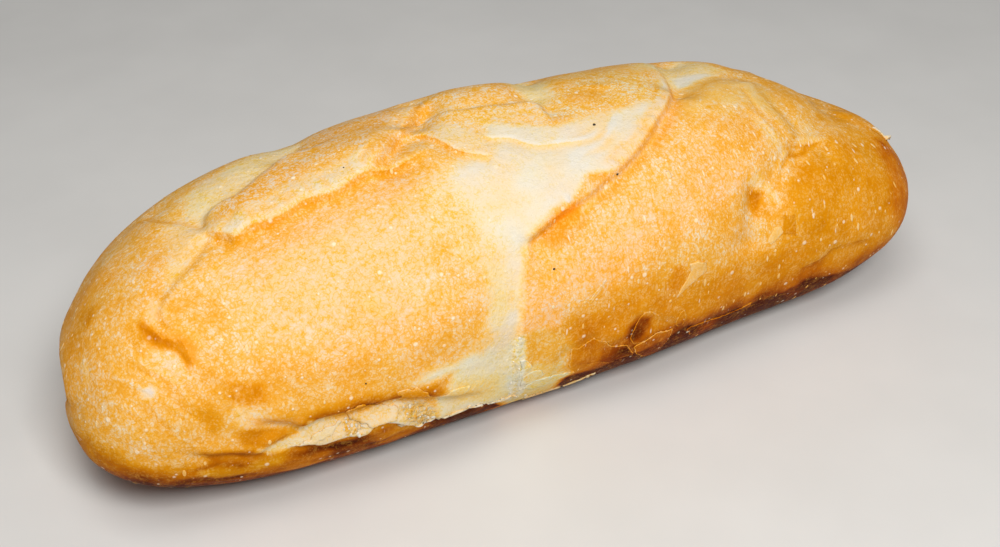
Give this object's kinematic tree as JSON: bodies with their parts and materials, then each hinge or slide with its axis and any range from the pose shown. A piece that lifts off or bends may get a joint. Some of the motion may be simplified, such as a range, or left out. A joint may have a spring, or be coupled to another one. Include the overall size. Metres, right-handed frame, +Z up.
{
  "type": "white bread loaf",
  "caption": "Long oval loaf of crusty white bread with a flat base, a burst diagonal split across its top and front, and torn folds of crust along its back and foot.",
  "frame": {"origin": "on the flat base, under the middle of the loaf's bounding box", "axes": "+X along the loaf, towards the lower, more tapered end; +Z up; the front seam faces -Y"},
  "size_m": [0.3008, 0.1144, 0.0878],
  "materials": {
    "crust": "matte golden crust with a faint sheen, cream where it burst late and brown round the base"
  },
  "bodies": {
    "root": {"loaf": "crust"}
  },
  "joints": []
}
